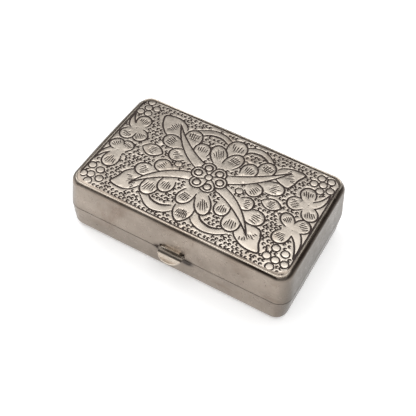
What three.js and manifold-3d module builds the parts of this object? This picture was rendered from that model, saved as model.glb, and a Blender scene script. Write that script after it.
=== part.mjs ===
// A small hinged needle case in silver-coloured sheet metal.
// A pressed base tray carries an inner collar. The lid is a wall band with an engraved plate and a border
// wire set into its top, and it turns on a five-knuckle hinge let into the back of the seam. A thumbpiece
// lifts the lid. Inside, a velvet bed and two flannel leaves hold the needles under a padded lid.
// Units are millimetres. +Z is up, the front faces -Y, and the origin is the centre of the underside.
import * as THREE from "three";
import { mergeVertices } from "three/addons/utils/BufferGeometryUtils.js";
import Module from "manifold-3d";

// The closed case.
const LENGTH = 70;
const WIDTH = 41;
const HEIGHT = 20.3;
const SEAM_Z = 9.1;
const SEAM_GAP = 0.2;
const CORNER_RADIUS = 4.2;
const SHEET = 0.8;
const SOLDER_GAP = 0.05;

// Base tray: the walls lean in by BASE_DRAFT on their way down to the rounded foot.
const BASE_DRAFT = 0.5;
const FOOT_RADIUS = 2.7;
const BASE_TOP = SEAM_Z - SEAM_GAP / 2;

// Lid band: the two end walls lean in by END_LEAN on their way up to the shoulder.
const END_LEAN = 1.0;
const SHOULDER_RADIUS = 1.7;
const SHOULDER_Z = HEIGHT - SHOULDER_RADIUS;
const LID_BOTTOM = SEAM_Z + SEAM_GAP / 2;

// Engraved plate, the wire round it, and the ledge of the lid band that both are soldered to.
const PLATE_HALF_X = 32.3;
const PLATE_HALF_Y = 19.3;
const PLATE_CORNER = 2.6;
const PLATE_THICKNESS = 0.8;
const PLATE_CHAMFER = 0.12;
const WIRE_WIDTH = 0.45;
const WIRE_CHAMFER = 0.25;
const LEDGE_TOP = HEIGHT - PLATE_THICKNESS - SOLDER_GAP;
const LEDGE_THICKNESS = 0.75;
const LEDGE_WIDTH = 1.6;
const LEDGE_BOTTOM = LEDGE_TOP - LEDGE_THICKNESS;

// Hinge: the axis lies on the seam, one sheet thickness in from the back face.
const HINGE_Y = WIDTH / 2 - SHEET;
const HINGE_Z = SEAM_Z;
const HINGE_LENGTH = 64;
const KNUCKLE_NAMES = [
  "base_knuckle_left",
  "lid_knuckle_left",
  "base_knuckle_centre",
  "lid_knuckle_right",
  "base_knuckle_right",
];
const KNUCKLE_RADIUS = 1.3;
const KNUCKLE_GAP = 0.12;
const BORE_RADIUS = 0.6;
const PIN_RADIUS = 0.52;
const COVE_RADIUS = 1.45;
const STOP_DEG = 103;

// Bearers: strips behind the back walls that the knuckles are soldered to.
const BEARER_LENGTH = 60;
const BEARER_DEPTH = 2;
const BEARER_HEIGHT = 2.4;

// Collar: stands up inside the base on the front and the two ends, and the lid closes over it.
const COLLAR_BOTTOM = 5.4;
const COLLAR_TOP = SEAM_Z + 1.6;
const COLLAR_THICKNESS = 0.6;
const COLLAR_CLEARANCE = 0.3;
const COLLAR_LEAD = 0.15;
const COLLAR_BACK_Y = 14;

// Catch bead: a ridge along the front of the collar that grips the inside of the closed lid.
const BEAD_LENGTH = 14;
const BEAD_RADIUS = 0.45;
const BEAD_PROUD = 0.25;
const BEAD_Z = SEAM_Z + 0.85;

// Thumbpiece: a flange on the lid's front wall that sweeps out into a half-round tab.
const THUMB_WIDTH = 7.6;
const THUMB_REACH = 3.1;
const THUMB_THICKNESS = 0.5;
const THUMB_TOP = SEAM_Z + 2.3;
const THUMB_TURN_Z = SEAM_Z + 1.5;
const THUMB_TIP_Z = SEAM_Z - 0.9;
const THUMB_CORNER = 0.8;

// Soft fittings: a card with a velvet bed and two flannel leaves in the base, and a card with a velvet
// pad in the lid. A metal strip along the back holds the leaves.
const CARD_THICKNESS = 0.6;
const FITTING_GAP = 0.1;
const BED_THICKNESS = 1.7;
const SOFT_EDGE = 0.6;
const LEAF_LENGTH = 56;
const LEAF_WIDTH = 27;
const LEAF_THICKNESS = 0.6;
const LEAF_CORNER = 1;
const STRIP_LENGTH = 50;
const STRIP_WIDTH = 2.4;
const STRIP_THICKNESS = 0.4;
const LINING_CLEARANCE = 0.5;

// Facets of the round stretches.
const CORNER_STEPS = 10;
const ARC_STEPS = 6;
const ROUND_STEPS = 24;

// How far a cutting solid runs past what it cuts.
const PAST = 1;

const wasm = await Module();
wasm.setup();

const silver = new THREE.MeshStandardMaterial({ color: 0xa89f94, roughness: 0.38, metalness: 1 });
const engravedSilver = new THREE.MeshStandardMaterial({ color: 0xc2b8aa, roughness: 0.34, metalness: 1 });
const steel = new THREE.MeshStandardMaterial({ color: 0xa9a9a6, roughness: 0.3, metalness: 1 });
const card = new THREE.MeshStandardMaterial({ color: 0xb8a88a, roughness: 0.9, metalness: 0 });
const velvet = new THREE.MeshStandardMaterial({ color: 0x5c1f2b, roughness: 0.95, metalness: 0 });
const flannel = new THREE.MeshStandardMaterial({ color: 0xe9dfca, roughness: 0.95, metalness: 0 });

// A closed geometry as a solid that can be joined and cut.
function solidOf(geometry) {
  const bare = geometry.clone();
  bare.deleteAttribute("normal");
  bare.deleteAttribute("uv");
  const merged = mergeVertices(bare, 1e-4);
  const vertProperties = new Float32Array(merged.attributes.position.array);
  const triVerts = new Uint32Array(merged.index.array);
  return new wasm.Manifold(new wasm.Mesh({ numProp: 3, vertProperties, triVerts }));
}

// A named mesh of a solid.
function piece(name, solid, material) {
  const data = solid.getMesh();
  const geometry = new THREE.BufferGeometry();
  geometry.setAttribute("position", new THREE.BufferAttribute(new Float32Array(data.vertProperties), 3));
  geometry.setIndex(new THREE.BufferAttribute(new Uint32Array(data.triVerts), 1));
  geometry.computeVertexNormals();
  const mesh = new THREE.Mesh(geometry, material);
  mesh.name = name;
  return mesh;
}

// A horizontal rounded rectangle at height z.
function ring(halfX, halfY, radius, z) {
  return { halfX, halfY, radius, z };
}

// The case's outline, set in by insetX at the ends and insetY at the front and back.
function outline(insetX, insetY, z) {
  const radius = CORNER_RADIUS - Math.min(insetX, insetY);
  return ring(LENGTH / 2 - insetX, WIDTH / 2 - insetY, radius, z);
}

function ringPoints({ halfX, halfY, radius, z }) {
  const points = [];
  const corners = [[1, 1], [-1, 1], [-1, -1], [1, -1]];
  corners.forEach(([sideX, sideY], quarter) => {
    for (let step = 0; step <= CORNER_STEPS; step++) {
      const angle = ((quarter + step / CORNER_STEPS) * Math.PI) / 2;
      const x = sideX * (halfX - radius) + radius * Math.cos(angle);
      const y = sideY * (halfY - radius) + radius * Math.sin(angle);
      points.push(x, y, z);
    }
  });
  return points;
}

// A solid skinned over a stack of rings, lowest first, and closed by a flat face at each end.
function loft(rings) {
  const count = 4 * (CORNER_STEPS + 1);
  const top = (rings.length - 1) * count;
  const positions = rings.flatMap(ringPoints);
  const lowCentre = rings.length * count;
  const highCentre = lowCentre + 1;
  positions.push(0, 0, rings[0].z, 0, 0, rings[rings.length - 1].z);
  const faces = [];
  for (let j = 0; j < count; j++) {
    const next = (j + 1) % count;
    for (let low = 0; low < top; low += count) {
      const high = low + count;
      faces.push(low + j, low + next, high + next);
      faces.push(low + j, high + next, high + j);
    }
    faces.push(lowCentre, next, j);
    faces.push(highCentre, top + j, top + next);
  }
  const geometry = new THREE.BufferGeometry();
  geometry.setAttribute("position", new THREE.Float32BufferAttribute(positions, 3));
  geometry.setIndex(faces);
  return solidOf(geometry);
}

function box(x0, x1, y0, y1, z0, z1) {
  const geometry = new THREE.BoxGeometry(x1 - x0, y1 - y0, z1 - z0);
  geometry.translate((x0 + x1) / 2, (y0 + y1) / 2, (z0 + z1) / 2);
  return solidOf(geometry);
}

// A cylinder along X, centred at x, y, z.
function rod(radius, length, x, y, z) {
  const geometry = new THREE.CylinderGeometry(radius, radius, length, ROUND_STEPS);
  geometry.rotateZ(Math.PI / 2);
  geometry.translate(x, y, z);
  return solidOf(geometry);
}

// A prism along X whose closed section is drawn in the Y-Z plane.
function prism(section, length) {
  const shape = new THREE.Shape(section.map(([y, z]) => new THREE.Vector2(y, z)));
  const geometry = new THREE.ExtrudeGeometry(shape, { depth: length, bevelEnabled: false });
  geometry.rotateX(Math.PI / 2);
  geometry.rotateZ(Math.PI / 2);
  geometry.translate(-length / 2, 0, 0);
  return solidOf(geometry);
}

// Rings of the base tray's face that lies `depth` inside its outer face.
function baseRings(depth, top) {
  const radius = FOOT_RADIUS - depth;
  const rings = [];
  for (let step = 0; step <= ARC_STEPS; step++) {
    const angle = ((step / ARC_STEPS) * Math.PI) / 2;
    const inset = BASE_DRAFT + FOOT_RADIUS - radius * Math.sin(angle);
    rings.push(outline(inset, inset, FOOT_RADIUS - radius * Math.cos(angle)));
  }
  rings.push(outline(depth, depth, top));
  return rings;
}

// How far the base's walls have leaned in at height z, between the foot and the seam.
function baseLean(z) {
  return (BASE_DRAFT * (BASE_TOP - z)) / (BASE_TOP - FOOT_RADIUS);
}

// How far the lid's end walls have leaned in at height z, between the seam and the shoulder.
function endLean(z) {
  return (END_LEAN * (z - LID_BOTTOM)) / (SHOULDER_Z - LID_BOTTOM);
}

// What the hinge needs cut out of the back walls: a cove for the knuckles, and a V along the back that lets
// the lid turn until the two faces of the V meet.
function hingeRelief() {
  const reach = SHEET + PAST;
  const rise = reach * Math.tan(THREE.MathUtils.degToRad(STOP_DEG / 2));
  const relief = prism([[0, 0], [reach, -rise], [reach, rise]], LENGTH);
  const cove = rod(COVE_RADIUS, HINGE_LENGTH + 2 * KNUCKLE_GAP, 0, 0, 0);
  return relief.add(cove).translate([0, HINGE_Y, HINGE_Z]);
}

function baseTray() {
  const hollow = loft(baseRings(SHEET, BASE_TOP).concat(outline(SHEET, SHEET, BASE_TOP + PAST)));
  return loft(baseRings(0, BASE_TOP)).subtract(hollow).subtract(hingeRelief());
}

// The plate's outline grown by `grow` on every side.
function plateRing(grow, z) {
  return ring(PLATE_HALF_X + grow, PLATE_HALF_Y + grow, PLATE_CORNER + grow, z);
}

function lidPlate() {
  return loft([
    plateRing(0, HEIGHT - PLATE_THICKNESS),
    plateRing(0, HEIGHT - PLATE_CHAMFER),
    plateRing(-PLATE_CHAMFER, HEIGHT),
  ]);
}

function borderWire() {
  const inner = SOLDER_GAP;
  const outer = inner + WIRE_WIDTH;
  const bottom = HEIGHT - PLATE_THICKNESS;
  const blank = loft([
    plateRing(outer, bottom),
    plateRing(outer, HEIGHT - WIRE_CHAMFER),
    plateRing(outer - WIRE_CHAMFER, HEIGHT),
  ]);
  return blank.subtract(loft([plateRing(inner, bottom - PAST), plateRing(inner, HEIGHT + PAST)]));
}

function lidBand() {
  const outer = [outline(0, 0, LID_BOTTOM)];
  for (let step = 0; step <= ARC_STEPS; step++) {
    const angle = ((step / ARC_STEPS) * Math.PI) / 2;
    const inset = SHOULDER_RADIUS * (1 - Math.cos(angle));
    outer.push(outline(END_LEAN + inset, inset, SHOULDER_Z + SHOULDER_RADIUS * Math.sin(angle)));
  }
  const hollow = loft([
    outline(SHEET, SHEET, LID_BOTTOM - PAST),
    outline(SHEET, SHEET, LID_BOTTOM),
    outline(SHEET + endLean(LEDGE_BOTTOM), SHEET, LEDGE_BOTTOM),
  ]);
  const seat = 2 * SOLDER_GAP + WIRE_WIDTH;
  const pocket = loft([plateRing(seat, LEDGE_TOP), plateRing(seat, HEIGHT + PAST)]);
  const window = loft([plateRing(-LEDGE_WIDTH, LEDGE_BOTTOM - PAST), plateRing(-LEDGE_WIDTH, HEIGHT + PAST)]);
  return loft(outer).subtract(hollow).subtract(pocket).subtract(window).subtract(hingeRelief());
}

function collar() {
  const foot = SHEET + baseLean(COLLAR_BOTTOM) + SOLDER_GAP;
  const wall = SHEET + COLLAR_CLEARANCE;
  const tip = wall + COLLAR_LEAD;
  const face = (depth) => [
    outline(foot + depth, foot + depth, COLLAR_BOTTOM),
    outline(wall + depth, wall + depth, SEAM_Z),
    outline(tip + depth, tip + depth, COLLAR_TOP),
  ];
  const inside = face(COLLAR_THICKNESS);
  const hollow = loft([
    { ...inside[0], z: COLLAR_BOTTOM - PAST },
    ...inside,
    { ...inside[2], z: COLLAR_TOP + PAST },
  ]);
  const back = box(-LENGTH, LENGTH, COLLAR_BACK_Y, WIDTH, 0, HEIGHT);
  return loft(face(0)).subtract(hollow).subtract(back);
}

// Where the collar's front face stands at height z, above the seam.
function collarFrontY(z) {
  const lead = (COLLAR_LEAD * (z - SEAM_Z)) / (COLLAR_TOP - SEAM_Z);
  return SHEET + COLLAR_CLEARANCE + lead - WIDTH / 2;
}

function catchBead() {
  const low = BEAD_Z - BEAD_RADIUS;
  const high = BEAD_Z + BEAD_RADIUS;
  const front = -WIDTH / 2;
  const keep = prism(
    [
      [front, low],
      [collarFrontY(low) - SOLDER_GAP, low],
      [collarFrontY(high) - SOLDER_GAP, high],
      [front, high],
    ],
    BEAD_LENGTH,
  );
  const centreY = collarFrontY(BEAD_Z) - BEAD_PROUD + BEAD_RADIUS;
  return rod(BEAD_RADIUS, BEAD_LENGTH, 0, centreY, BEAD_Z).intersect(keep);
}

// A strip behind the back wall, below the seam for side -1 and above it for side +1, with the cove cut out.
function hingeBearer(side) {
  const near = HINGE_Z + (side * SEAM_GAP) / 2;
  const far = near + side * BEARER_HEIGHT;
  const wallLean = side < 0 ? baseLean(far) : 0;
  const outerY = HINGE_Y - wallLean - SOLDER_GAP;
  const half = BEARER_LENGTH / 2;
  const strip = box(-half, half, outerY - BEARER_DEPTH, outerY, Math.min(near, far), Math.max(near, far));
  return strip.subtract(rod(COVE_RADIUS, HINGE_LENGTH, 0, HINGE_Y, HINGE_Z));
}

// One of the tubes along the hinge, counted from the left.
function knuckle(index) {
  const pitch = HINGE_LENGTH / KNUCKLE_NAMES.length;
  const x = (index - (KNUCKLE_NAMES.length - 1) / 2) * pitch;
  const length = pitch - KNUCKLE_GAP;
  const bore = rod(BORE_RADIUS, length + PAST, x, HINGE_Y, HINGE_Z);
  return rod(KNUCKLE_RADIUS, length, x, HINGE_Y, HINGE_Z).subtract(bore);
}

function hingePin() {
  return rod(PIN_RADIUS, HINGE_LENGTH, 0, HINGE_Y, HINGE_Z);
}

// The thumbpiece's section: a strip of even thickness down the wall and out through a quarter of an ellipse.
function thumbSection() {
  const half = THUMB_THICKNESS / 2;
  const wallY = -WIDTH / 2 - SOLDER_GAP - half;
  const sweep = THUMB_REACH - SOLDER_GAP - half;
  const drop = THUMB_TURN_Z - THUMB_TIP_Z - half;
  const bend = new THREE.EllipseCurve(wallY - sweep, THUMB_TURN_Z, sweep, drop, 0, -Math.PI / 2, true);
  const middle = [new THREE.Vector2(wallY, THUMB_TOP), ...bend.getPoints(2 * ARC_STEPS)];
  const offset = (side) =>
    middle.map((point, i) => {
      const before = middle[Math.max(i - 1, 0)];
      const after = middle[Math.min(i + 1, middle.length - 1)];
      const along = after.clone().sub(before).normalize();
      return [point.x - side * half * along.y, point.y + side * half * along.x];
    });
  return [...offset(1), ...offset(-1).reverse()];
}

// The section is trimmed to a half-round tab in plan and to a flange with rounded upper corners in front.
function thumbpiece() {
  const half = THUMB_WIDTH / 2;
  const wallY = -WIDTH / 2;
  const faceY = wallY - THUMB_THICKNESS;
  const reach = THUMB_REACH - THUMB_THICKNESS;
  const plan = new THREE.Shape();
  plan.moveTo(half, wallY + PAST);
  plan.lineTo(-half, wallY + PAST);
  plan.lineTo(-half, faceY);
  plan.absellipse(0, faceY, half, reach, Math.PI, 2 * Math.PI, false, 0);
  const tab = new THREE.ExtrudeGeometry(plan, { depth: HEIGHT, bevelEnabled: false });
  const front = new THREE.Shape();
  const cornerZ = THUMB_TOP - THUMB_CORNER;
  front.moveTo(-half, 0);
  front.lineTo(half, 0);
  front.absarc(half - THUMB_CORNER, cornerZ, THUMB_CORNER, 0, Math.PI / 2, false);
  front.absarc(THUMB_CORNER - half, cornerZ, THUMB_CORNER, Math.PI / 2, Math.PI, false);
  const flange = new THREE.ExtrudeGeometry(front, { depth: WIDTH, bevelEnabled: false });
  flange.rotateX(Math.PI / 2);
  return prism(thumbSection(), THUMB_WIDTH).intersect(solidOf(tab)).intersect(solidOf(flange));
}

// A flat card between two heights.
function slab(insetX, insetY, z0, z1) {
  return loft([outline(insetX, insetY, z0), outline(insetX, insetY, z1)]);
}

// A cushion: a slab with eased edges.
function cushion(insetX, insetY, z0, z1) {
  return loft([
    outline(insetX + SOFT_EDGE, insetY + SOFT_EDGE, z0),
    outline(insetX, insetY, z0 + SOFT_EDGE),
    outline(insetX, insetY, z1 - SOFT_EDGE),
    outline(insetX + SOFT_EDGE, insetY + SOFT_EDGE, z1),
  ]);
}

function addBaseFittings(base) {
  const cardInset = BASE_DRAFT + FOOT_RADIUS;
  const cardBottom = SHEET + FITTING_GAP;
  const cardTop = cardBottom + CARD_THICKNESS;
  const bedInset = BASE_DRAFT + FOOT_RADIUS / 2;
  const bedBottom = cardTop + FITTING_GAP;
  const bedTop = bedBottom + BED_THICKNESS;
  base.add(piece("bed_card", slab(cardInset, cardInset, cardBottom, cardTop), card));
  base.add(piece("velvet_bed", cushion(bedInset, bedInset, bedBottom, bedTop), velvet));

  let level = bedTop + FITTING_GAP;
  ["flannel_leaf_lower", "flannel_leaf_upper"].forEach((name) => {
    const leaf = (z) => ring(LEAF_LENGTH / 2, LEAF_WIDTH / 2, LEAF_CORNER, z);
    base.add(piece(name, loft([leaf(level), leaf(level + LEAF_THICKNESS)]), flannel));
    level += LEAF_THICKNESS + FITTING_GAP;
  });

  const half = STRIP_LENGTH / 2;
  const stripY = LEAF_WIDTH / 2 - STRIP_WIDTH;
  const strip = box(-half, half, stripY, stripY + STRIP_WIDTH, level, level + STRIP_THICKNESS);
  base.add(piece("leaf_strip", strip, silver));
}

function addLidFittings(lid) {
  const insetX = SHEET + END_LEAN + LINING_CLEARANCE;
  const insetY = SHEET + LINING_CLEARANCE;
  const cardTop = LEDGE_BOTTOM - FITTING_GAP;
  const cardBottom = cardTop - CARD_THICKNESS;
  const padTop = cardBottom - FITTING_GAP;
  lid.add(piece("lining_card", slab(insetX, insetY, cardBottom, cardTop), card));
  lid.add(piece("lid_lining", cushion(insetX, insetY, padTop - BED_THICKNESS, padTop), velvet));
}

const base = new THREE.Group();
base.add(piece("base_tray", baseTray(), silver));
base.add(piece("base_collar", collar(), silver));
base.add(piece("catch_bead", catchBead(), silver));
base.add(piece("base_hinge_bearer", hingeBearer(-1), silver));
base.add(piece("hinge_pin", hingePin(), steel));
addBaseFittings(base);

const lid = new THREE.Group();
lid.add(piece("lid_band", lidBand(), silver));
lid.add(piece("lid_plate", lidPlate(), engravedSilver));
lid.add(piece("border_wire", borderWire(), silver));
lid.add(piece("lid_hinge_bearer", hingeBearer(1), silver));
lid.add(piece("thumbpiece", thumbpiece(), silver));
addLidFittings(lid);

KNUCKLE_NAMES.forEach((name, index) => {
  const owner = name.startsWith("base") ? base : lid;
  owner.add(piece(name, knuckle(index), silver));
});

const needleCase = new THREE.Group();
needleCase.add(base, lid);

export default needleCase;
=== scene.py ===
"""Looks for the needle case: an aged silver box with an engraved lid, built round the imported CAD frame.

Sizes are in millimetres until a mesh is made, and then in metres, in the frame of the CAD model:
+Z is up, the front faces -Y, the hinge is at +Y, and the origin is the centre of the underside.
"""

import math
from collections import namedtuple

import bmesh
import bpy
import numpy as np
from mathutils import Matrix, Vector, noise


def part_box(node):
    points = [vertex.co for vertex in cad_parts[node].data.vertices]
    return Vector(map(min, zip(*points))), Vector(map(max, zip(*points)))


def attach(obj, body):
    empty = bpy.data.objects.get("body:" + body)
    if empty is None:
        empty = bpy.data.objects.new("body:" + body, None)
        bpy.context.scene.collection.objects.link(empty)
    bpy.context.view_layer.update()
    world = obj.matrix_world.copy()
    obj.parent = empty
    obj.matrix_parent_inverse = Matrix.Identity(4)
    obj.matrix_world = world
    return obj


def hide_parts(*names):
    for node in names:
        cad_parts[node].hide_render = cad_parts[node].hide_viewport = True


MM = 0.001

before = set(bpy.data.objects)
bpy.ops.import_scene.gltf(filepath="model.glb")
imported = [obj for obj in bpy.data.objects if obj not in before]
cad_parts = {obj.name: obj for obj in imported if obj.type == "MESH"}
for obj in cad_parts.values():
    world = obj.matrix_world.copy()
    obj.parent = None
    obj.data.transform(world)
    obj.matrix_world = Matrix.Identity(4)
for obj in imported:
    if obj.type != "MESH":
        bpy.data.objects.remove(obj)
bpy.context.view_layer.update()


def node_box(node):
    """Lowest and highest corner of a CAD node, in millimetres."""
    low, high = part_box(node)
    return np.array(low) / MM, np.array(high) / MM


# The case, read from the frame.
BAND_LOW, BAND_HIGH = node_box("lid_band")
PLATE_LOW, PLATE_HIGH = node_box("lid_plate")
WIRE_LOW, WIRE_HIGH = node_box("border_wire")
THUMB_LOW, THUMB_HIGH = node_box("thumbpiece")
PIN_LOW, PIN_HIGH = node_box("hinge_pin")
HALF_X = BAND_HIGH[0]
HALF_Y = BAND_HIGH[1]
HEIGHT = BAND_HIGH[2]
LID_BOTTOM = BAND_LOW[2]
BASE_TOP = node_box("base_tray")[1][2]
SEAM_Z = (LID_BOTTOM + BASE_TOP) / 2
HINGE_Y = (PIN_LOW[1] + PIN_HIGH[1]) / 2

# Sheet metal and the shapes of the two shells, as in the CAD model.
SHEET = 0.8
CORNER_RADIUS = 4.2
BASE_DRAFT = 0.5
FOOT_RADIUS = 2.7
END_LEAN = 1.0
SHOULDER_RADIUS = 1.7
LEDGE_TOP = HEIGHT - 0.85
LEDGE_BOTTOM = LEDGE_TOP - 0.75
LEDGE_WIDTH = 1.6
PLATE_CORNER = 2.6
KNUCKLE_RADIUS = 1.3
BORE_RADIUS = 0.6
COVE_RADIUS = 1.45
STOP_ANGLE = math.radians(103)

# Hand work: how far the hammered walls wander, and how much softer the shoulder is at the corners.
WALL_WANDER = 0.035
WANDER_SCALE = 0.11
SHOULDER_MIDDLE = 1.35
SHOULDER_CORNER = 2.1


# ---------------------------------------------------------------- meshes


def shade(mesh, crease):
    """Smooth shading, except across edges sharper than crease degrees."""
    mesh.shade_smooth()
    mesh.set_sharp_from_angle(angle=math.radians(crease))


def make_piece(name, points, faces, material, crease=35):
    """A mesh from points in millimetres, shaded smooth except across edges sharper than crease degrees."""
    mesh = bpy.data.meshes.new(name)
    mesh.from_pydata((np.asarray(points, float) * MM).tolist(), [], faces)
    mesh.validate()
    shade(mesh, crease)
    mesh.materials.append(material)
    piece = bpy.data.objects.new(name, mesh)
    bpy.context.scene.collection.objects.link(piece)
    return piece


def settle(piece, body, slot, *nodes):
    """The piece rides on a body and stands for CAD nodes. Its slot argument is not used."""
    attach(piece, body)
    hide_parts(*nodes)
    return piece


def apply_modifiers(piece):
    """Turns what the modifiers make into the piece's own mesh."""
    graph = bpy.context.evaluated_depsgraph_get()
    made = bpy.data.meshes.new_from_object(piece.evaluated_get(graph))
    piece.modifiers.clear()
    piece.data = made
    return piece


def thicken(piece, thickness):
    """Makes an open sheet into a solid, half to each side."""
    solid = piece.modifiers.new("thickness", "SOLIDIFY")
    solid.thickness = thickness * MM
    solid.offset = 0
    apply_modifiers(piece)


def add_bevel(piece, width):
    """Rounds the piece's sharp edges by a width in millimetres."""
    bevel = piece.modifiers.new("edges", "BEVEL")
    bevel.width = width * MM
    bevel.segments = 2
    bevel.limit_method = "ANGLE"
    bevel.angle_limit = math.radians(35)
    bevel.harden_normals = True


def wander(x, y, z, amount, scale):
    """Smooth hand-made unevenness at a point, in millimetres."""
    return amount * noise.noise(Vector((x * scale, y * scale, z * scale)))


def rounded_rectangle(half_x, half_y, radius, pitch=0.8):
    """Points round a rounded rectangle, as many whatever its size, and each one's outward direction."""
    arc_steps = 12
    side_steps = (int(2 * HALF_Y / pitch), int(2 * HALF_X / pitch))
    points, outward = [], []
    for quarter in range(4):
        centre_x = (half_x - radius) * (1 if quarter in (0, 3) else -1)
        centre_y = (half_y - radius) * (1 if quarter in (0, 1) else -1)
        for step in range(arc_steps + 1):
            angle = (quarter + step / arc_steps) * math.pi / 2
            outward.append((math.cos(angle), math.sin(angle)))
            points.append((centre_x + radius * math.cos(angle), centre_y + radius * math.sin(angle)))
        end = points[-1]
        following = (
            (-(half_x - radius), half_y),
            (-half_x, -(half_y - radius)),
            (half_x - radius, -half_y),
            (half_x, half_y - radius),
        )[quarter]
        count = side_steps[1] if quarter in (0, 2) else side_steps[0]
        for step in range(1, count):
            share = step / count
            points.append(tuple(a + (b - a) * share for a, b in zip(end, following)))
            outward.append(outward[-1])
    return np.array(points), np.array(outward)


def skin(rings, capped=False):
    """Quads between rings with equal counts of points. The last ring joins the first, or both are capped."""
    count = len(rings[0])
    faces = []
    for i in range(len(rings) - 1 if capped else len(rings)):
        low = i * count
        high = ((i + 1) % len(rings)) * count
        for j in range(count):
            k = (j + 1) % count
            faces.append((low + j, low + k, high + k, high + j))
    if capped:
        faces.append(tuple(range(count))[::-1])
        faces.append(tuple(range((len(rings) - 1) * count, len(rings) * count)))
    return faces


def grid_faces(rows, columns):
    """Quads over a grid of points that are listed row by row."""
    index = np.arange(rows * columns).reshape(rows, columns)
    corners = [index[:-1, :-1], index[:-1, 1:], index[1:, 1:], index[1:, :-1]]
    return np.stack(corners, -1).reshape(-1, 4).tolist()


def make_skinned(name, rings, material, crease=35, capped=False):
    """A closed piece skinned over rings."""
    points = [point for ring in rings for point in ring]
    piece = make_piece(name, points, skin(rings, capped), material, crease)
    remake_faces_outward(piece)
    return piece


def make_sheet(name, x, y, z, material, crease=60):
    """An open sheet over a grid of points."""
    points = np.stack([x, y, z], -1).reshape(-1, 3)
    return make_piece(name, points, grid_faces(*x.shape), material, crease)


def case_ring(inset_x, inset_y, z, uneven=1.0):
    """A horizontal ring of the case, set in from its outline, with the walls' slight unevenness."""
    radius = CORNER_RADIUS - min(inset_x, inset_y)
    flat, outward = rounded_rectangle(HALF_X - inset_x, HALF_Y - inset_y, radius)
    ring = []
    for (x, y), (out_x, out_y) in zip(flat, outward):
        off = uneven * wander(x, y, z, WALL_WANDER, WANDER_SCALE)
        ring.append((x + out_x * off, y + out_y * off, z))
    return ring


def hinge_rings(profile, steps=48):
    """Rings round the hinge's axis, one for each (x, radius) of a profile."""
    turn = [step / steps * 2 * math.pi for step in range(steps)]
    return [
        [(x, HINGE_Y + radius * math.cos(a), SEAM_Z + radius * math.sin(a)) for a in turn]
        for x, radius in profile
    ]


def hinge_cutters():
    """The V along the back, in which the lid turns, and the cove round the knuckles."""
    reach = SHEET + 1
    rise = reach * math.tan(STOP_ANGLE / 2)
    section = [(0.0, 0.0), (reach, -rise), (reach, rise)]
    ends = (-HALF_X - 1, HALF_X + 1)
    wedge = [[(x, HINGE_Y + y, SEAM_Z + z) for y, z in section] for x in ends]
    length = PIN_HIGH[0] - PIN_LOW[0] + 0.3
    rod = hinge_rings([(-length / 2, COVE_RADIUS), (length / 2, COVE_RADIUS)])
    return [make_skinned("cutter", rings, SILVER_PAINTED_SHADE, capped=True) for rings in (wedge, rod)]


def cut_hinge(shell):
    """Cuts the hinge's cove and the V out of a shell."""
    cutters = hinge_cutters()
    for cutter in cutters:
        cut = shell.modifiers.new("hinge", "BOOLEAN")
        cut.operation = "DIFFERENCE"
        cut.solver = "EXACT"
        cut.object = cutter
    apply_modifiers(shell)
    for cutter in cutters:
        bpy.data.objects.remove(cutter)
    shade(shell.data, 35)


def remake_faces_outward(piece):
    """Merges points that meet and turns every face outward."""
    shape = bmesh.new()
    shape.from_mesh(piece.data)
    bmesh.ops.remove_doubles(shape, verts=shape.verts, dist=1e-7)
    bmesh.ops.recalc_face_normals(shape, faces=shape.faces)
    shape.to_mesh(piece.data)
    shape.free()


# ---------------------------------------------------------------- materials


def fill_ramp(ramp, stops):
    """Sets a colour ramp's (position, colour or grey) stops."""
    stops = [(p, (c, c, c, 1) if isinstance(c, (int, float)) else (*c, 1)) for p, c in stops]
    elements = ramp.color_ramp.elements
    elements[0].position, elements[0].color = stops[0]
    elements[1].position, elements[1].color = stops[-1]
    for position, colour in stops[1:-1]:
        elements.new(position).color = colour


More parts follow.
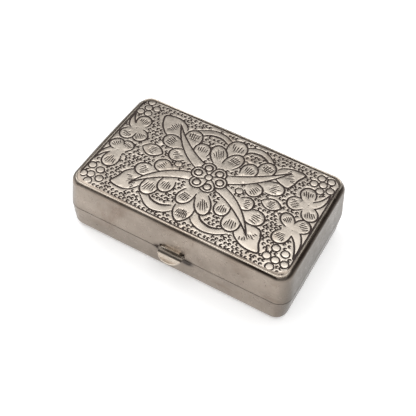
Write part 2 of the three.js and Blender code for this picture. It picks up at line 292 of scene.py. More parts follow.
class Shader:
    """A Principled material and short ways to add nodes to it."""

    def __init__(self, name):
        self.material = bpy.data.materials.new(name)
        self.material.use_nodes = True
        self.tree = self.material.node_tree
        self.bsdf = self.tree.nodes["Principled BSDF"]
        self.place = self.node("ShaderNodeTexCoord").outputs["Object"]

    def node(self, kind, **settings):
        made = self.tree.nodes.new(kind)
        for key, value in settings.items():
            setattr(made, key, value)
        return made

    def link(self, source, target):
        self.tree.links.new(source, target)

    def feed(self, socket, value):
        """Links a socket's value in, or sets it."""
        if isinstance(value, bpy.types.NodeSocket):
            self.link(value, socket)
        else:
            socket.default_value = value

    def set(self, socket, value):
        self.feed(self.bsdf.inputs[socket], value)

    def noise(self, size_mm, detail=4.0, rough=0.55, stretch=(1, 1, 1), distortion=0.0):
        """Noise from 0 to 1 whose blobs are about size_mm across."""
        mapping = self.node("ShaderNodeMapping")
        mapping.inputs["Scale"].default_value = [1 / (size_mm * MM * s) for s in stretch]
        self.link(self.place, mapping.inputs["Vector"])
        made = self.node("ShaderNodeTexNoise")
        made.inputs["Scale"].default_value = 1.0
        made.inputs["Detail"].default_value = detail
        made.inputs["Roughness"].default_value = rough
        made.inputs["Distortion"].default_value = distortion
        self.link(mapping.outputs["Vector"], made.inputs["Vector"])
        return made.outputs["Fac"]

    def ramp(self, source, *stops):
        """Maps a value through (position, colour or grey) stops."""
        made = self.node("ShaderNodeValToRGB")
        fill_ramp(made, stops)
        self.link(source, made.inputs["Fac"])
        return made.outputs["Color"]

    def mix(self, factor, first, second):
        """A colour mix. Each input is a socket or a colour."""
        made = self.node("ShaderNodeMix", data_type="RGBA")
        self.feed(made.inputs[0], factor)
        for socket, value in ((6, first), (7, second)):
            self.feed(made.inputs[socket], value if isinstance(value, bpy.types.NodeSocket) else (*value, 1))
        return made.outputs[2]

    def math(self, operation, first, second):
        made = self.node("ShaderNodeMath", operation=operation)
        self.feed(made.inputs[0], first)
        self.feed(made.inputs[1], second)
        return made.outputs[0]

    def attribute(self, name):
        return self.node("ShaderNodeAttribute", attribute_name=name).outputs["Fac"]

    def bump(self, height, distance_mm, strength=1.0):
        made = self.node("ShaderNodeBump")
        made.inputs["Distance"].default_value = distance_mm * MM
        made.inputs["Strength"].default_value = strength
        self.link(height, made.inputs["Height"])
        self.link(made.outputs["Normal"], self.bsdf.inputs["Normal"])


def aged_silver(name, bright, dull, brown, roughness, grooves=False):
    """Worn silver: bright and dull patches, brown tarnish, fine scratches and a slight orange peel, with
    painted shade on the end walls and, where the tarnish attribute is set, painted shade and painted
    reflection.
    """
    s = Shader(name)
    s.set("Metallic", 1.0)
    patches = s.ramp(s.noise(9, detail=5), (0.3, 0.0), (0.7, 1.0))
    colour = s.mix(patches, dull, bright)
    stain = s.ramp(s.noise(13, detail=6, rough=0.65, distortion=0.6), (0.54, 0.0), (0.78, 0.65))
    colour = s.mix(stain, colour, brown)
    # Painted shade: the end walls, from 31.5 mm out to either side, turn darker.
    along = s.node("ShaderNodeSeparateXYZ")
    s.link(s.place, along.inputs["Vector"])
    end = s.ramp(s.math("ABSOLUTE", along.outputs["X"], 0.0), (0.0315, 0.0), (0.0335, 0.95))
    colour = s.mix(end, colour, END_WALL_PAINTED_SHADE)
    specks = s.ramp(s.noise(0.9, detail=2), (0.7, 0.0), (0.76, 0.7))
    colour = s.mix(specks, colour, [0.45 * c for c in brown])
    scratches = s.noise(0.35, detail=3, stretch=(24, 1, 1), distortion=0.2)
    cross = s.noise(0.3, detail=3, stretch=(1, 16, 16), distortion=0.2)
    fine = s.math("ADD", scratches, cross)
    grain = s.math("ADD", fine, s.noise(0.25, detail=3))
    rough = s.math("ADD", s.noise(2.5, detail=6), s.math("MULTIPLY", fine, 0.4))
    rough = s.ramp(rough, (0.45, roughness[0]), (1.15, roughness[1]))
    # Painted shade and painted reflection: where the tarnish attribute is set, the colour goes to a dark
    # brown.
    colour = s.mix(s.attribute("tarnish"), colour, PAINTED_SHADE_BROWN)
    if grooves:
        cut = s.attribute("cut")
        patchy = s.math("MULTIPLY", cut, s.ramp(s.noise(1.6, detail=4), (0.25, 0.8), (0.6, 1.0)))
        tarnish = s.ramp(patchy, (0.03, 0.0), (0.28, 1.0))
        colour = s.mix(tarnish, colour, OXIDE)
        rough = s.math("MAXIMUM", rough, s.math("MULTIPLY", tarnish, 0.7))
        s.set("Metallic", s.ramp(tarnish, (0.0, 1.0), (1.0, 0.0)))
    s.set("Base Color", colour)
    s.set("Roughness", rough)
    s.bump(grain, 0.006, 0.5)
    return s.material


def velvet_cloth():
    """Short-pile velvet with crushed patches."""
    s = Shader("velvet")
    crush = s.ramp(s.noise(5, detail=4, distortion=0.8), (0.35, 0.0), (0.7, 1.0))
    pile = s.noise(0.16, detail=2)
    colour = s.mix(crush, (0.085, 0.008, 0.014), (0.2, 0.022, 0.036))
    colour = s.mix(s.ramp(pile, (0.35, 0.0), (0.7, 0.6)), colour, (0.3, 0.05, 0.07))
    s.set("Base Color", colour)
    s.set("Roughness", 0.95)
    s.set("Sheen Weight", 0.7)
    s.set("Sheen Roughness", 0.4)
    s.set("Sheen Tint", (0.75, 0.25, 0.3, 1))
    s.bump(pile, 0.12, 0.8)
    return s.material


def wool_flannel():
    """Napped cream wool: soft fibres over a faint twill."""
    s = Shader("flannel")
    fibres = s.noise(0.22, detail=5, rough=0.7, stretch=(2.5, 1, 1), distortion=1.2)
    soil = s.ramp(s.noise(8, detail=4), (0.35, 0.0), (0.75, 1.0))
    colour = s.mix(soil, (0.74, 0.67, 0.53), (0.6, 0.52, 0.39))
    colour = s.mix(s.ramp(fibres, (0.3, 0.0), (0.7, 0.5)), colour, (0.83, 0.78, 0.66))
    s.set("Base Color", colour)
    s.set("Roughness", 0.95)
    s.set("Sheen Weight", 0.35)
    s.bump(fibres, 0.15, 0.7)
    return s.material


def plain_card():
    s = Shader("card")
    fleck = s.noise(0.4, detail=5)
    s.set("Base Color", s.mix(fleck, (0.5, 0.42, 0.3), (0.66, 0.58, 0.45)))
    s.set("Roughness", 0.9)
    s.bump(fleck, 0.03, 0.5)
    return s.material


def drawn_steel():
    s = Shader("drawn_steel")
    s.set("Metallic", 1.0)
    lines = s.noise(0.2, detail=3, stretch=(20, 1, 1))
    s.set("Base Color", s.mix(lines, (0.4, 0.39, 0.38), (0.6, 0.59, 0.57)))
    s.set("Roughness", s.ramp(lines, (0.3, 0.25), (0.7, 0.45)))
    s.bump(lines, 0.01, 0.4)
    return s.material


OXIDE = (0.03, 0.016, 0.011)
# Painted shade colour for the end walls.
END_WALL_PAINTED_SHADE = (0.108, 0.095, 0.08)
# Painted shade colour for the shoulder band, the thumbpiece's shadows and its hollow.
PAINTED_SHADE_BROWN = (0.042, 0.029, 0.021)
# One silver in three brightnesses: the darker copy on the walls, hinge and collar is painted shade; the
# lighter copies on the engraved face and on the wire, thumbpiece, catch and leaf strip are painted light.
SILVER_PAINTED_SHADE = aged_silver(
    "worn_silver_painted_shade", (0.37, 0.312, 0.262), (0.25, 0.208, 0.172), (0.165, 0.105, 0.07), (0.16, 0.34)
)
ENGRAVED_PAINTED_LIGHT = aged_silver(
    "engraved_silver", (0.74, 0.665, 0.58), (0.6, 0.53, 0.455), (0.45, 0.34, 0.25), (0.22, 0.36), grooves=True
)
SILVER_PAINTED_HIGHLIGHT = aged_silver(
    "silver_painted_highlight", (0.72, 0.64, 0.55), (0.56, 0.49, 0.41), (0.42, 0.33, 0.25), (0.16, 0.3)
)
VELVET = velvet_cloth()
FLANNEL = wool_flannel()
CARD = plain_card()
STEEL = drawn_steel()


# ---------------------------------------------------------------- engraving


class Engraving:
    """Height of the engraved face on a fine grid, drawn like paint: what comes later covers the rest."""

    PITCH = 0.05

    def __init__(self, half_x, half_y):
        self.xs = np.arange(-half_x, half_x + self.PITCH, self.PITCH)
        self.ys = np.arange(-half_y, half_y + self.PITCH, self.PITCH)
        size = (len(self.ys), len(self.xs))
        self.cut = np.zeros(size)
        self.rise = np.zeros(size)
        self.ground = np.ones(size, bool)

    def window(self, points, margin):
        """The part of the grid round some points: its slices and its coordinates."""
        low = points.min(0) - margin
        high = points.max(0) + margin
        columns = slice(*np.searchsorted(self.xs, (low[0], high[0])))
        rows = slice(*np.searchsorted(self.ys, (low[1], high[1])))
        return rows, columns, *np.meshgrid(self.xs[columns], self.ys[rows])

    @staticmethod
    def inside(points, x, y):
        """Even-odd test of grid points against a closed outline."""
        result = np.zeros(x.shape, bool)
        for (x0, y0), (x1, y1) in zip(points, np.roll(points, -1, axis=0)):
            if y0 != y1:
                crosses = (y0 > y) != (y1 > y)
                result ^= crosses & (x < x0 + (x1 - x0) * (y - y0) / (y1 - y0))
        return result

    @staticmethod
    def distance(points, x, y):
        """Distance from each grid point to a line of points, and how far along it, from 0 to 1."""
        nearest = np.full(x.shape, 1e9)
        along = np.zeros(x.shape)
        steps = np.hypot(*np.diff(points, axis=0).T)
        reached = np.concatenate([[0], np.cumsum(steps)]) / max(steps.sum(), 1e-9)
        for i, ((x0, y0), (x1, y1)) in enumerate(zip(points[:-1], points[1:])):
            span = (x1 - x0) ** 2 + (y1 - y0) ** 2
            t = np.clip(((x - x0) * (x1 - x0) + (y - y0) * (y1 - y0)) / max(span, 1e-12), 0, 1)
            gap = np.hypot(x - x0 - t * (x1 - x0), y - y0 - t * (y1 - y0))
            closer = gap < nearest
            nearest[closer] = gap[closer]
            along[closer] = (reached[i] + t * (reached[i + 1] - reached[i]))[closer]
        return nearest, along

    def stroke(self, points, width, depth=1.0, swell=0.6):
        """A cut along a line. Swell is how much of its width and depth it loses towards its ends."""
        points = np.asarray(points, float)
        rows, columns, x, y = self.window(points, width)
        if not x.size:
            return
        gap, along = self.distance(points, x, y)
        body = 1 - swell * (1 - np.sqrt(np.clip(np.sin(np.pi * along), 0, 1)))
        groove = depth * body * np.clip(1 - (gap / (0.5 * width * body)) ** 2, 0, 1)
        self.cut[rows, columns] = np.maximum(self.cut[rows, columns], groove)

    def shape(self, points, width=0.45, dome=0.01, swell=0.35, line=(0.0, 1.0)):
        """A closed shape: clears what lies under it, swells up a little, and is outlined by one cut,
        which runs over the stretch of its outline that line gives as shares of the outline's points."""
        points = np.asarray(points, float)
        rows, columns, x, y = self.window(points, 0.5)
        within = self.inside(points, x, y)
        outline = np.vstack([points, points[:1]])
        gap, _ = self.distance(outline, x, y)
        self.cut[rows, columns][within] = 0
        self.ground[rows, columns][within] = False
        self.rise[rows, columns][within] = dome * (1 - np.exp(-gap[within] / 0.7))
        first, last = (int(share * (len(outline) - 1)) for share in line)
        self.stroke(outline[first : last + 1], width, swell=swell)

    def hatch(self, base, tip, width, lines, cross=False, reach=(0.42, 0.8)):
        """Short cuts side by side over a lobe that runs from base to tip."""
        base, axis, side = petal_axes(base, tip)
        for i in range(lines):
            place = (i + 0.5) / lines - 0.5
            away = side * width * 0.66 * place
            near = reach[0] + HAND.uniform(-0.05, 0.05) + 0.2 * abs(place)
            far = reach[1] + HAND.uniform(-0.08, 0.05) - 0.3 * place**2
            ends = [base + away * 0.85 + axis * near, base + away * 1.1 + axis * far]
            self.stroke(ends, 0.34, depth=1.0, swell=0.6)
        if cross:
            for share in np.linspace(reach[0] + 0.06, reach[1] - 0.04, 3):
                ends = [base + axis * share + side * width * away for away in (-0.32, 0.32)]
                self.stroke(ends, 0.2, depth=0.6, swell=0.7)

    def punch(self, x, y, turn):
        """One curved punch mark: most of a small ring."""
        radius = HAND.uniform(0.32, 0.42)
        sweep = math.radians(HAND.uniform(190, 265))
        angles = np.linspace(turn, turn + sweep, 9)
        mark = np.c_[x + radius * np.cos(angles), y + radius * np.sin(angles)]
        self.stroke(mark, 0.58, depth=HAND.uniform(0.85, 1.0), swell=0.4)

    def sample(self, grid, x, y):
        """A grid's value between its points."""
        column = np.clip((x - self.xs[0]) / self.PITCH, 0, len(self.xs) - 1.001)
        row = np.clip((y - self.ys[0]) / self.PITCH, 0, len(self.ys) - 1.001)
        c, r = column.astype(int), row.astype(int)
        u, v = column - c, row - r
        low = grid[r, c] * (1 - u) + grid[r, c + 1] * u
        high = grid[r + 1, c] * (1 - u) + grid[r + 1, c + 1] * u
        return low * (1 - v) + high * v


HAND = np.random.default_rng(7)


def circle(x, y, radius, steps=28):
    angles = np.linspace(0, 2 * math.pi, steps, endpoint=False)
    return np.c_[x + radius * np.cos(angles), y + radius * np.sin(angles)]


def petal_axes(base, tip):
    """The base of a petal, the way from it to the tip, and the unit vector to its left."""
    base = np.array(base, float)
    axis = np.array(tip, float) - base
    return base, axis, np.array([-axis[1], axis[0]]) / np.hypot(*axis)


def lobe(base, tip, width, pinch=0.7, steps=36):
    """A petal with a round end at tip, drawn in towards base."""
    base, axis, side = petal_axes(base, tip)
    turn = np.linspace(0, 2 * math.pi, steps, endpoint=False)
    across = np.sin(turn) * np.sin(turn / 2) ** pinch
    across *= 0.5 * width / across.max()
    along = (1 - np.cos(turn)) / 2
    return base + along[:, None] * axis + across[:, None] * side


def leaf(base, tip, width, fullness=0.7, bend=0.0, steps=20):
    """A petal with a point at both ends. Bend moves its middle sideways."""
    base, axis, side = petal_axes(base, tip)
    share = np.linspace(0, 1, steps)
    half = 0.5 * width * np.sin(np.pi * share) ** fullness
    middle = base + share[:, None] * axis + (bend * np.sin(np.pi * share))[:, None] * side
    return np.vstack([middle + half[:, None] * side, (middle - half[:, None] * side)[-2:0:-1]])


def horn(start, control, end, width, steps=26):
    """A stem that follows a curve and tapers to a point."""
    start, control, end = (np.array(p, float) for p in (start, control, end))
    t = np.linspace(0, 1, steps)[:, None]
    middle = (1 - t) ** 2 * start + 2 * t * (1 - t) * control + t**2 * end
    along = np.gradient(middle, axis=0)
    side = np.c_[-along[:, 1], along[:, 0]] / np.hypot(*along.T)[:, None]
    half = 0.5 * width * (1 - t**2)
    return np.vstack([middle + half * side, (middle - half * side)[-2::-1]])


def spline(points, steps=7, closed=False):
    """A smooth curve through given points."""
    points = np.array(points, float)
    if closed:
        points = np.vstack([points[-1:], points, points[:2]])
    else:
        points = np.vstack([2 * points[0] - points[1], points, 2 * points[-1] - points[-2]])
    made = []
    for before, start, end, after in zip(points, points[1:], points[2:], points[3:]):
        for t in np.arange(steps) / steps:
            bend = (end - before) * t + (2 * before - 5 * start + 4 * end - after) * t**2
            bend += (3 * start - before - 3 * end + after) * t**3
            made.append(start + bend / 2)
    return np.array(made if closed else made + [points[-2]])


Branch = namedtuple("Branch", "stem leaf leaf_hatch lobes outer inner flower horn berries")

# A leaf branch for each quarter of the plate. A stem and a horn are start, control, end and width. A lobe is
# base, tip, width and whether it is cross-hatched. The leaf starts where its outline is faint.
BRANCHES = (
    Branch(
        stem=((3.8, 2.2), (11.8, 5.9), (18.5, 14.0), 3.1),
        leaf=(
            (14.6, 10.6), (15.0, 13.6), (16.6, 15.0), (19.4, 15.8),
            (22.4, 15.5), (21.5, 12.8), (20.9, 10.2), (19.4, 8.4),
        ),
        leaf_hatch=((16.4, 10.6), (21.2, 14.4), 5.0),
        lobes=(
            ((12.6, 5.5), (19.9, 6.9), 5.0, False),
            ((9.6, 4.6), (14.4, 1.8), 5.0, False),
            ((10.9, 7.6), (12.9, 14.4), 4.9, True),
            ((7.4, 4.8), (8.4, 11.4), 4.7, False),
        ),
        outer=((2.8, 15.6), (4.6, 17.0), (7.2, 17.7), (10.4, 16.9), (13.2, 14.6)),
        inner=((11.6, 12.6), (11.4, 13.8), (10.3, 14.9), (8.0, 15.7), (5.2, 15.1), (4.2, 13.6)),
        flower=((27.4, 6.0), ((22.0, 3.9), 4.8), ((30.6, 0.9), 4.6), ((25.2, 11.7), 4.5)),
        horn=((27.6, 6.0), (31.2, 7.0), (31.4, 12.6), 2.6),
        berries=((26.8, 16.9), (25.6, 14.1), (28.1, 14.8), (28.2, 12.3), (30.7, 13.7), (29.7, 17.0)),
    ),
    Branch(
        stem=((3.4, -1.2), (11.6, -3.8), (17.7, -12.1), 3.0),
        leaf=(
            (13.4, -9.0), (14.0, -12.2), (15.4, -14.2), (18.8, -16.0),
            (22.9, -15.7), (21.8, -12.8), (21.2, -10.4), (19.4, -8.4),
        ),
        leaf_hatch=((15.6, -9.6), (20.6, -14.6), 5.6),
        lobes=(
            ((13.0, -5.2), (19.8, -6.0), 5.4, False),
            ((9.8, -3.2), (14.9, -2.0), 4.8, False),
            ((11.6, -6.2), (12.7, -13.5), 5.2, False),
            ((7.4, -3.6), (8.2, -10.0), 4.5, False),
        ),
        outer=((1.8, -14.4), (3.4, -16.0), (6.6, -17.0), (10.2, -16.4), (13.4, -14.3)),
        inner=((11.4, -13.2), (10.4, -14.0), (8.0, -14.7), (5.2, -14.0), (3.4, -12.4)),
        flower=((27.3, -4.0), ((23.2, 0.2), 3.8), ((31.0, -0.2), 4.7), ((24.6, -10.0), 4.5)),
        horn=((27.4, -4.2), (31.2, -5.6), (31.7, -12.6), 2.7),
        berries=((26.4, -11.7), (29.4, -12.3), (25.3, -15.1), (27.9, -15.3), (30.6, -15.4), (27.5, -17.9)),
    ),
    Branch(
        stem=((-4.4, 2.9), (-12.2, 6.2), (-17.5, 14.2), 3.1),
        leaf=(
            (-15.4, 10.6), (-15.0, 13.8), (-17.4, 15.9), (-20.2, 16.4),
            (-23.4, 15.4), (-22.7, 12.4), (-21.0, 10.0), (-18.6, 8.6),
        ),
        leaf_hatch=((-15.6, 10.6), (-21.8, 14.4), 5.0),
        lobes=(
            ((-12.9, 6.2), (-19.2, 8.0), 4.9, True),
            ((-9.4, 4.8), (-14.8, 2.4), 5.0, False),
            ((-11.2, 7.6), (-12.3, 14.7), 5.2, True),
            ((-7.0, 5.0), (-7.5, 11.3), 4.8, False),
        ),
        outer=((-1.6, 16.2), (-4.4, 17.4), (-8.2, 17.3), (-12.4, 15.0)),
        inner=((-10.2, 13.6), (-8.0, 15.1), (-5.0, 15.6), (-2.2, 14.6)),
        flower=((-28.0, 6.5), ((-24.0, 2.6), 4.6), ((-30.3, 1.2), 4.4), ((-27.3, 12.0), 4.5)),
        horn=((-28.2, 6.4), (-31.3, 7.0), (-31.6, 11.6), 2.3),
        berries=((-29.6, 15.5), (-28.5, 13.3), (-30.9, 13.0), (-27.2, 16.2), (-29.9, 17.9)),
    ),
    Branch(
        stem=((-4.4, -1.5), (-13.4, -3.5), (-18.5, -12.6), 3.0),
        leaf=(
            (-15.2, -9.4), (-16.2, -13.4), (-18.8, -15.4), (-23.3, -14.9),
            (-22.4, -12.0), (-21.6, -9.2), (-19.0, -7.4),
        ),
        leaf_hatch=((-15.6, -9.4), (-20.8, -13.8), 5.2),
        lobes=(
            ((-14.0, -5.6), (-20.2, -6.6), 4.8, False),
            ((-11.0, -3.4), (-16.0, -1.4), 4.8, False),
            ((-12.4, -6.0), (-13.4, -14.0), 5.0, False),
            ((-9.2, -4.0), (-9.5, -10.8), 4.6, False),
        ),
        outer=((-3.0, -14.8), (-5.0, -16.8), (-8.0, -17.7), (-10.8, -17.0), (-14.0, -14.4)),
        inner=((-11.8, -13.4), (-10.0, -14.6), (-7.2, -14.9), (-4.4, -13.6)),
        flower=((-27.5, -3.5), ((-25.7, 0.6), 4.0), ((-31.1, -0.6), 4.3), ((-27.9, -10.7), 4.8)),
        horn=((-28.0, -3.8), (-31.5, -4.6), (-31.9, -9.8), 2.1),
        berries=(
            (-30.7, -12.4), (-27.8, -12.9), (-29.2, -15.5),
            (-31.2, -16.2), (-26.3, -15.7), (-28.6, -17.9),
        ),
    ),
)

OPEN_BASE = (0.17, 0.83)


def draw_lobe(art, base, tip, width, cross=False, pinch=0.35, line=OPEN_BASE):
    """A leaf lobe or petal that grows out of what covers its base, with hatching across its middle."""
    art.shape(lobe(base, tip, width, pinch), width=0.62, line=line)
    art.hatch(base, tip, width, 5, cross=cross)


def draw_band(art, branch):
    """The band that bows round the punched ground beside the middle petals."""
    outer, inner = spline(branch.outer), spline(branch.inner)
    art.shape(np.vstack([outer, inner]), width=0.01, dome=0.015)
    art.stroke(outer, 0.52, swell=0.4)
    art.stroke(inner, 0.78, swell=0.5)


def draw_end_flower(art, branch):
    """A half-open flower at the end of the plate, with a stem that curls to the corner."""
    centre = branch.flower[0]
    art.shape(horn(*branch.horn), width=0.58)
    for tip, width in branch.flower[1:]:
        draw_lobe(art, centre, tip, width, pinch=0.5)


def draw_leaf_branch(art, branch):
    """The long stem from the middle flower to a corner, with leaf lobes along both sides."""
    outline = spline(branch.leaf, closed=True)
    art.shape(outline, width=0.64, line=(0.12, 0.97))
    base, tip, width = branch.leaf_hatch
    art.hatch(base, tip, 1.45 * width, 8, reach=(0.4, 0.68))
    for base, tip, width, cross in branch.lobes:
        draw_lobe(art, base, tip, width, cross)
    art.shape(horn(*branch.stem), width=0.56, swell=0.3)


def draw_middle_petals(art):
    """Three petals above the middle flower and three below it."""
    draw_lobe(art, (1.2, 9.6), (1.2, 17.5), 5.9, pinch=0.4)
    draw_lobe(art, (0.4, 5.0), (-4.2, 12.7), 4.9, pinch=0.5)
    draw_lobe(art, (0.8, 4.6), (3.9, 12.5), 4.7, cross=True, pinch=0.5)
    art.shape(leaf((-1.0, -8.6), (-0.5, -17.6), 5.6, 0.62), width=0.62, line=(0.2, 0.8))
    art.hatch((-1.0, -9.8), (-0.5, -17.4), 5.3, 7, cross=True)
    draw_lobe(art, (-1.6, -4.2), (-3.6, -11.8), 4.4, cross=True, pinch=0.5)
    draw_lobe(art, (0.0, -4.2), (4.6, -12.2), 4.6, pinch=0.5)


def draw_middle_flower(art):
    """Six petals round a boss, each with a ring in it."""
    centre = np.array((-0.6, 0.5))
    rings = [(-2.2, 3.6), (1.5, 3.1), (3.0, 0.3), (0.7, -2.8), (-2.7, -2.7), (-4.0, 0.7)]
    for ring in rings:
        away = np.array(ring) - centre
        tip = np.array(ring) + 1.95 * away / np.hypot(*away)
        art.shape(lobe(centre, tip, 4.1, 0.9), width=0.54, dome=0.03)
    for ring in rings:
        art.shape(circle(*ring, 1.12), width=0.6, dome=0.03, swell=0.1)
    art.shape(circle(*centre, 1.08), width=0.5, dome=0.05, swell=0.1)


def draw_small_motifs(art):
    """The almonds at both ends of the middle, and the small rings and buds beside the flower."""
    for base, tip, width in (((15.8, 0.7), (21.7, 1.0), 4.0), ((-22.7, 1.2), (-16.3, 1.5), 4.5)):
        art.shape(leaf(base, tip, width, 0.7), width=0.6)
        art.hatch(base, tip, width, 5, reach=(0.3, 0.7))
    for x, y in ((9.0, 0.6), (-10.4, 0.5)):
        art.shape(circle(x, y, 1.1), width=0.4, dome=0.01)
    for x, y in ((5.7, 9.8), (-5.3, 9.6)):
        art.shape(lobe((x, y - 1.9), (x, y + 1.7), 1.8, 0.2), width=0.36, dome=0.015)


PUNCH_PITCH = 1.25


def draw_ground(art, half_x, half_y):
    """Punch marks over all the ground that the motifs leave, in uneven rows."""
    busy = art.cut > 0.35
    clearance = 0.24
    margin = 0.95
    reach = int(clearance / art.PITCH)
    for row, y in enumerate(np.arange(margin - half_y, half_y - 0.7, PUNCH_PITCH)):
        first_x = margin - half_x + 0.5 * PUNCH_PITCH * (row % 2)
        for x in np.arange(first_x, half_x - 0.7, PUNCH_PITCH):
            px, py = x + HAND.uniform(-0.2, 0.2), y + HAND.uniform(-0.2, 0.2)
            turn = math.radians(60) + HAND.uniform(-0.8, 0.8)
            column = int(round((px - art.xs[0]) / art.PITCH))
            line = int(round((py - art.ys[0]) / art.PITCH))
            near = (slice(line - reach, line + reach + 1), slice(column - reach, column + reach + 1))
            if art.ground[near].all() and not busy[near].any():
                art.punch(px, py, turn)


def draw_border(art, half_x, half_y):
    """The worn line that frames the ornament."""
    inset = 0.24
    frame_line, _ = rounded_rectangle(half_x - inset, half_y - inset, PLATE_CORNER - inset)
    size = 46
    for first in range(0, len(frame_line) - 1, size - 1):
        part = frame_line[first : first + size]
        art.stroke(part, 0.5, depth=HAND.uniform(0.6, 1.0), swell=0.25)


def draw_ornament(half_x, half_y):
    art = Engraving(half_x, half_y)
    for branch in BRANCHES:
        draw_band(art, branch)
    for branch in BRANCHES:
        draw_end_flower(art, branch)
        for x, y in branch.berries:
            art.shape(circle(x, y, 1.16), width=0.46, dome=0.03, swell=0.15)
    draw_small_motifs(art)
    for branch in BRANCHES:
        draw_leaf_branch(art, branch)
    draw_middle_petals(art)
    draw_middle_flower(art)
    draw_ground(art, half_x, half_y)
    draw_border(art, half_x, half_y)
    return art


def round_corner(x, y, half_x, half_y, radius):
    """Moves grid points of the square corners onto round ones, and leaves the rest where they are."""
    over_x = (np.abs(x) - (half_x - radius)) / radius
    over_y = (np.abs(y) - (half_y - radius)) / radius
    corner = (over_x > 0) & (over_y > 0)
    length = np.hypot(over_x, over_y)
    scale = np.where(corner, np.maximum(over_x, over_y) / np.where(corner, length, 1), 1)
    x = np.where(corner, np.sign(x) * (half_x - radius + radius * over_x * scale), x)
    y = np.where(corner, np.sign(y) * (half_y - radius + radius * over_y * scale), y)
    return x, y


CUT_DEPTH = 0.075
PLATE_PITCH = 0.09
PLATE_FACES = 194_000


def make_engraved_plate():
    """The plate's face as a height field, thinned where it is smooth, with its edge turned down."""
    half_x, half_y = PLATE_HIGH[0], PLATE_HIGH[1]
    art = draw_ornament(half_x, half_y)
    columns = int(2 * half_x / PLATE_PITCH)
    rows = int(2 * half_y / PLATE_PITCH)
    grid_x, grid_y = np.meshgrid(np.linspace(-half_x, half_x, columns), np.linspace(-half_y, half_y, rows))
    x, y = round_corner(grid_x, grid_y, half_x, half_y, PLATE_CORNER)
    edge = np.minimum(half_x - np.abs(grid_x), half_y - np.abs(grid_y))
    face_z = HEIGHT - 0.1
    edge_drop, edge_width = 0.14, 0.3
    ease = edge_drop * np.clip(1 - edge / edge_width, 0, 1) ** 2
    cut = art.sample(art.cut, x, y)
    wave = 0.02 * np.sin(0.31 * x + 0.8) * np.sin(0.42 * y - 0.4)
    wave = wave + 0.008 * np.sin(0.9 * x) * np.sin(1.1 * y + 1)
    z = face_z + art.sample(art.rise, x, y) - CUT_DEPTH * cut - ease + wave
    plate = make_sheet("engraved_plate", x, y, z, ENGRAVED_PAINTED_LIGHT, crease=180)
    thin = plate.modifiers.new("thin", "DECIMATE")
    thin.ratio = PLATE_FACES / (2 * len(plate.data.polygons))
    apply_modifiers(plate)
    turn_edge_down(plate, PLATE_LOW[2])
    spots = np.empty(len(plate.data.vertices) * 3)
    plate.data.vertices.foreach_get("co", spots)
    spots = spots.reshape(-1, 3) / MM
    value = art.sample(art.cut, spots[:, 0], spots[:, 1])
    value[spots[:, 2] < PLATE_LOW[2] + 0.1] = 1
    plate.data.attributes.new("cut", "FLOAT", "POINT").data.foreach_set("value", value.astype(np.float32))
    settle(plate, "lid", "engraved_silver", "lid_plate")


def turn_edge_down(piece, bottom):
    """Closes an open sheet with walls down to a flat underside."""
    shape = bmesh.new()
    shape.from_mesh(piece.data)
    rim = [edge for edge in shape.edges if edge.is_boundary]
    made = bmesh.ops.extrude_edge_only(shape, edges=rim)["geom"]
    for vertex in (item for item in made if isinstance(item, bmesh.types.BMVert)):
        vertex.co.z = bottom * MM
    low_rim = [item for item in made if isinstance(item, bmesh.types.BMEdge) and item.is_boundary]
    bmesh.ops.holes_fill(shape, edges=low_rim)
    bmesh.ops.recalc_face_normals(shape, faces=shape.faces)
    shape.to_mesh(piece.data)
    shape.free()
    shade(piece.data, 60)


# ---------------------------------------------------------------- shells


def end_lean(z):
    """How far the lid's end walls have leaned in at height z."""
    return END_LEAN * (z - LID_BOTTOM) / (HEIGHT - SHOULDER_RADIUS - LID_BOTTOM)


def base_lean(z):
    """How far the base's walls have leaned in at height z."""
    return BASE_DRAFT * (BASE_TOP - z) / (BASE_TOP - FOOT_RADIUS)


def foot_rings(depth, arc_steps=10, wall_steps=12):
    """Rings of the base from its floor to its rim, for the face that lies depth inside the outer one."""
    radius = FOOT_RADIUS - depth
    rings = []
    for step in range(arc_steps + 1):
        angle = step / arc_steps * math.pi / 2
        inset = BASE_DRAFT + FOOT_RADIUS - radius * math.sin(angle)
        level = FOOT_RADIUS - radius * math.cos(angle)
        rings.append(case_ring(inset, inset, level, uneven=step / arc_steps))
    for step in range(1, wall_steps + 1):
        z = FOOT_RADIUS + (BASE_TOP - FOOT_RADIUS) * step / wall_steps
        rings.append(case_ring(depth + base_lean(z), depth + base_lean(z), z))
    return rings


def make_base_shell():
    """The base's shell: from its outer floor, up and over its rim, down to its inner floor."""
    rings = foot_rings(0) + foot_rings(SHEET)[::-1]
    shell = make_skinned("base_shell", rings, SILVER_PAINTED_SHADE, capped=True)
    cut_hinge(shell)
    add_bevel(shell, 0.1)
    # Painted shadow of the thumbpiece on the base's front wall.
    add_painted_shade(shell, thumb_painted_shadow)
    settle(shell, "base", "silver", "base_tray")


def shoulder_ring(angle):
    """A ring of the lid's shoulder, which is tighter along the sides and softer towards the corners."""
    flat, _ = rounded_rectangle(HALF_X, HALF_Y, CORNER_RADIUS)
    ring = []
    for x, y in flat:
        corner = (abs(x) / HALF_X) ** 2 * (abs(y) / HALF_Y) ** 2
        radius = SHOULDER_MIDDLE + (SHOULDER_CORNER - SHOULDER_MIDDLE) * corner
        z = HEIGHT - radius * (1 - math.sin(angle))
        inset = radius * (1 - math.cos(angle))
        lean = end_lean(min(z, HEIGHT - SHOULDER_RADIUS))
        share_x = (HALF_X - lean - inset) / HALF_X
        share_y = (HALF_Y - inset) / HALF_Y
        ring.append((x * share_x, y * share_y, z + wander(x, y, z, 0.02, 0.15)))
    return ring


def plate_ring(grow, z):
    flat, _ = rounded_rectangle(PLATE_HIGH[0] + grow, PLATE_HIGH[1] + grow, PLATE_CORNER + grow)
    return [(x, y, z) for x, y in flat]


